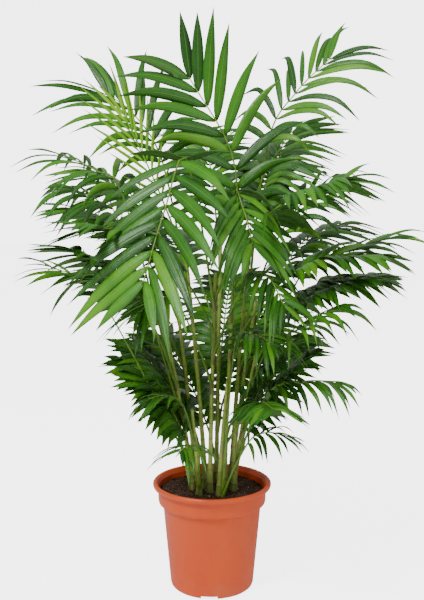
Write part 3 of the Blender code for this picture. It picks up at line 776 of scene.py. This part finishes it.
def add_leaflet(bm, layers, course, face_up, fine, narrow):
    """One leaflet: a grid bent along its course, pleated and lightly curled."""
    uv_layer, tone_layer = layers
    courses, edges = course
    total = sum((b - a).length for a, b in zip(courses, courses[1:]))
    reach = (courses[1] - courses[0]).length / total
    half = edges[0].length / 2 / blade_shape(reach)
    half = min(half, widest_half) * narrow
    directions = [edges[0].normalized()] + [e.normalized() for e in edges]
    directions.append(directions[-1])
    tone = rng.random()
    roll = rng.uniform(-0.30, 0.30)
    curl = rng.uniform(-0.65, 0.65) if fine else rng.uniform(-0.9, 0.9)
    wave = rng.uniform(0, 6.28)
    rise = rng.uniform(0.16, 0.34)
    sag = total * (rng.uniform(0.03, 0.22) if half < 0.0090 else rng.uniform(0.02, 0.13))
    columns, rows = (4, 12) if fine else (4, 9)
    made = bmesh.ops.create_grid(bm, x_segments=columns, y_segments=rows, size=0.5)
    corners = {v: (v.co.x + 0.5, v.co.y + 0.5) for v in made["verts"]}
    faces = list(dict.fromkeys(f for v in made["verts"] for f in v.link_faces))
    for f in faces:
        for loop in f.loops:
            loop[uv_layer].uv = corners[loop.vert]
    lengths = [0.0]
    for a, b in zip(courses, courses[1:]):
        lengths.append(lengths[-1] + (b - a).length / total)
    sections = {}
    for j in range(rows + 1):
        v = j / rows
        k = max(i for i in range(len(lengths) - 1) if lengths[i] <= v + 1e-9)
        t = (k + (v - lengths[k]) / (lengths[k + 1] - lengths[k])) / (len(courses) - 1)
        here = smooth_curve(courses, t)
        before, after = smooth_curve(courses, max(0, t - 0.02)), smooth_curve(courses, min(1, t + 0.02))
        ahead = (after - before).normalized()
        spot = t * (len(directions) - 1)
        i = min(int(spot), len(directions) - 2)
        side = directions[i].lerp(directions[i + 1], spot - i)
        side = Matrix.Rotation(roll * min(1, v * 4) + curl * v * v, 3, ahead) @ side
        side = (side - ahead * side.dot(ahead)).normalized()
        up = side.cross(ahead)
        if up.dot(face_up) < 0:
            up = -up
        here = here - Vector((0, 0, sag * v**2.4))
        width = half * blade_shape(v)
        sections[j] = (here, side, up, width, v)
    for vert, (x, y) in corners.items():
        here, side, up, width, v = sections[round(y * rows)]
        offset = (x - 0.5) * 2
        ripple = math.sin(wave + v * 9 + offset * 1.3) * 0.05 * v
        depth = -abs(offset) * rise + ripple * abs(offset)
        vert.co = here + side * offset * width + up * depth * width
        vert[tone_layer] = tone
    nearest_root = faces[0]
    nearest_root.normal_update()
    if nearest_root.normal.dot(sections[1][2]) < 0:
        bmesh.ops.reverse_faces(bm, faces=faces)
    return faces


def build_frond(node, fine):
    """The stalk and sheath as one tube, the leaflets as thin pleated blades.

    Inner fronds, which are not fine, get one more leaflet between each two neighbours."""
    rings, leaflets = read_frond(node)
    centres = [middle(r) for r in rings]
    radii = [sum((c - m).length for c in r) / 4 * 0.78 for r, m in zip(rings, centres)]
    foot = centres[0]
    cane = min(canes.values(), key=lambda c: min((p - foot).length for p in c[0]))
    nearest = min(range(len(cane[0])), key=lambda i: (cane[0][i] - foot).length)
    base, girth = cane[0][nearest], cane[1][nearest]
    below = [
        min(cane[0], key=lambda p: abs(p.z - (base.z - drop))) + (foot - base) * pull
        for drop, pull in ((0.034, 0.0), (0.022, 0.12), (0.010, 0.38))
    ]
    sheath = [girth * 0.9, girth * 1.12, girth * 1.05]
    path = below + centres
    sizes = sheath + [radii[0] * 1.45] + radii[1:]
    count = 34 if fine else 26
    run = [smooth_curve(path, k / count) for k in range(count + 1)]
    spans = len(sizes) - 1
    girths = []
    for k in range(count + 1):
        spot = k / count * spans
        i = min(int(spot), spans - 1)
        girths.append(sizes[i] + (sizes[i + 1] - sizes[i]) * (spot - i))
    bm = bmesh.new()
    tone_layer = bm.verts.layers.float.new("tone")
    uv_layer = bm.loops.layers.uv.new("UVMap")
    grown_tube(bm, run, girths, 6)
    sheath_end = sum((b - a).length for a, b in zip(below, below[1:]))
    for f in bm.faces:
        f.material_index = 2
        if (f.calc_center_median() - below[0]).length < sheath_end:
            f.material_index = 3
    rows = {}
    for leaf in leaflets:
        root = middle(leaf[-1])
        i = min(range(1, len(centres) - 1), key=lambda k: (centres[k] - root).length)
        along = (centres[i + 1] - centres[i - 1]).normalized()
        course = course_of(leaf, along)
        out = (course[0][1] - root).normalized()
        up = out.cross(along)
        side = up.z > 0
        if (up.z < 0 and abs(up.z) > 0.12) or (abs(up.z) <= 0.12 and up.y > 0):
            up = -up
        place = i + (root - centres[i]).dot(along) / (centres[i + 1] - centres[i]).length
        rows.setdefault(side, []).append((place, course, up))
    blades = []
    narrow = breadth_young if node == "frond_young" else breadth_named if fine else breadth_inner
    for row in rows.values():
        row.sort(key=lambda r: r[0])
        grown = [(course, up) for _, course, up in row]
        for (_, course, up), (_, following, next_up) in zip(row, row[1:]):
            if not fine and len(course[0]) == len(following[0]) and up.dot(next_up) > 0:
                grown.append((between_two(course, following), (up + next_up).normalized()))
        for course, up in grown:
            blades += add_leaflet(bm, (uv_layer, tone_layer), course, up, fine, narrow)
    before = set(bm.faces)
    bmesh.ops.solidify(bm, geom=blades, thickness=leaf_thickness)
    for f in bm.faces:
        if f not in before:
            f.material_index = 1
    return bm


fronds = sorted(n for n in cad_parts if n.startswith("frond_"))
for node in fronds:
    fine = not node[6:].isdigit()
    bm = build_frond(node, fine)
    if node == "frond_young":
        frond = finished(node + "_leaf", bm, young_top, young_under, young_top, young_under)
    else:
        frond = finished(node + "_leaf", bm, leaf_top, leaf_under, stalk_green, sheath_brown)
    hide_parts(node)

# ------------------------------------------------------------------ studio
# The studio: a wide pale floor under plain soft light from large lamps and a white surround.


def studio_floor():
    surface, shader, n = material("studio_floor")
    place = n.add("ShaderNodeTexCoord").outputs["Object"]
    cloud = n.noise(place, 2, 2, 0.5)
    feed(surface, shader, Base_Color=n.ramp(cloud, (0.3, (0.90, 0.90, 0.90)), (0.7, (0.93, 0.93, 0.93))))
    shader.inputs["Roughness"].default_value = 0.9
    shader.inputs["Specular IOR Level"].default_value = 0.0
    shader.inputs["Emission Color"].default_value = (1, 1, 1, 1)
    seen = n.add("ShaderNodeLightPath").outputs["Is Camera Ray"]
    feed(surface, shader, Emission_Strength=n.maths("MULTIPLY", seen, 3.95))
    return surface


bm = bmesh.new()
bmesh.ops.create_grid(bm, x_segments=8, y_segments=8, size=14)
mesh = bpy.data.meshes.new("floor")
bm.to_mesh(mesh)
bm.free()
mesh.materials.append(studio_floor())
floor = bpy.data.objects.new("floor", mesh)
bpy.context.scene.collection.objects.link(floor)

world = bpy.data.worlds.new("studio")
bpy.context.scene.world = world
world.use_nodes = True
background = world.node_tree.nodes["Background"]
background.inputs["Color"].default_value = (1, 1, 1, 1)
surround = Nodes(world.node_tree)
seen = surround.add("ShaderNodeLightPath").outputs["Is Camera Ray"]
world.node_tree.links.new(surround.spread(seen, 0, 1, 0.55, 4.6), background.inputs["Strength"])


def soft_lamp(name, place, power, size):
    """A square lamp that looks at the middle of the plant."""
    lamp = bpy.data.lights.new(name, "AREA")
    lamp.energy = power
    lamp.size = size
    holder = bpy.data.objects.new(name, lamp)
    bpy.context.scene.collection.objects.link(holder)
    holder.location = place
    aim = Vector((0, 0, 0.5)) - Vector(place)
    holder.rotation_euler = aim.to_track_quat("-Z", "Y").to_euler()


soft_lamp("key_lamp", (-1.2, -1.6, 2.6), 74, 0.7)
soft_lamp("side_lamp", (1.9, -1.2, 1.8), 12, 1.0)

camera = bpy.data.cameras.new("camera")
camera.sensor_width = 36
camera.lens = 36 * 850 / 600
viewer = bpy.data.objects.new("camera", camera)
bpy.context.scene.collection.objects.link(viewer)
viewer.location = (0, -1.47, 0.672)
viewer.rotation_euler = (math.radians(90 - 6.25), 0, 0)
bpy.context.scene.camera = viewer
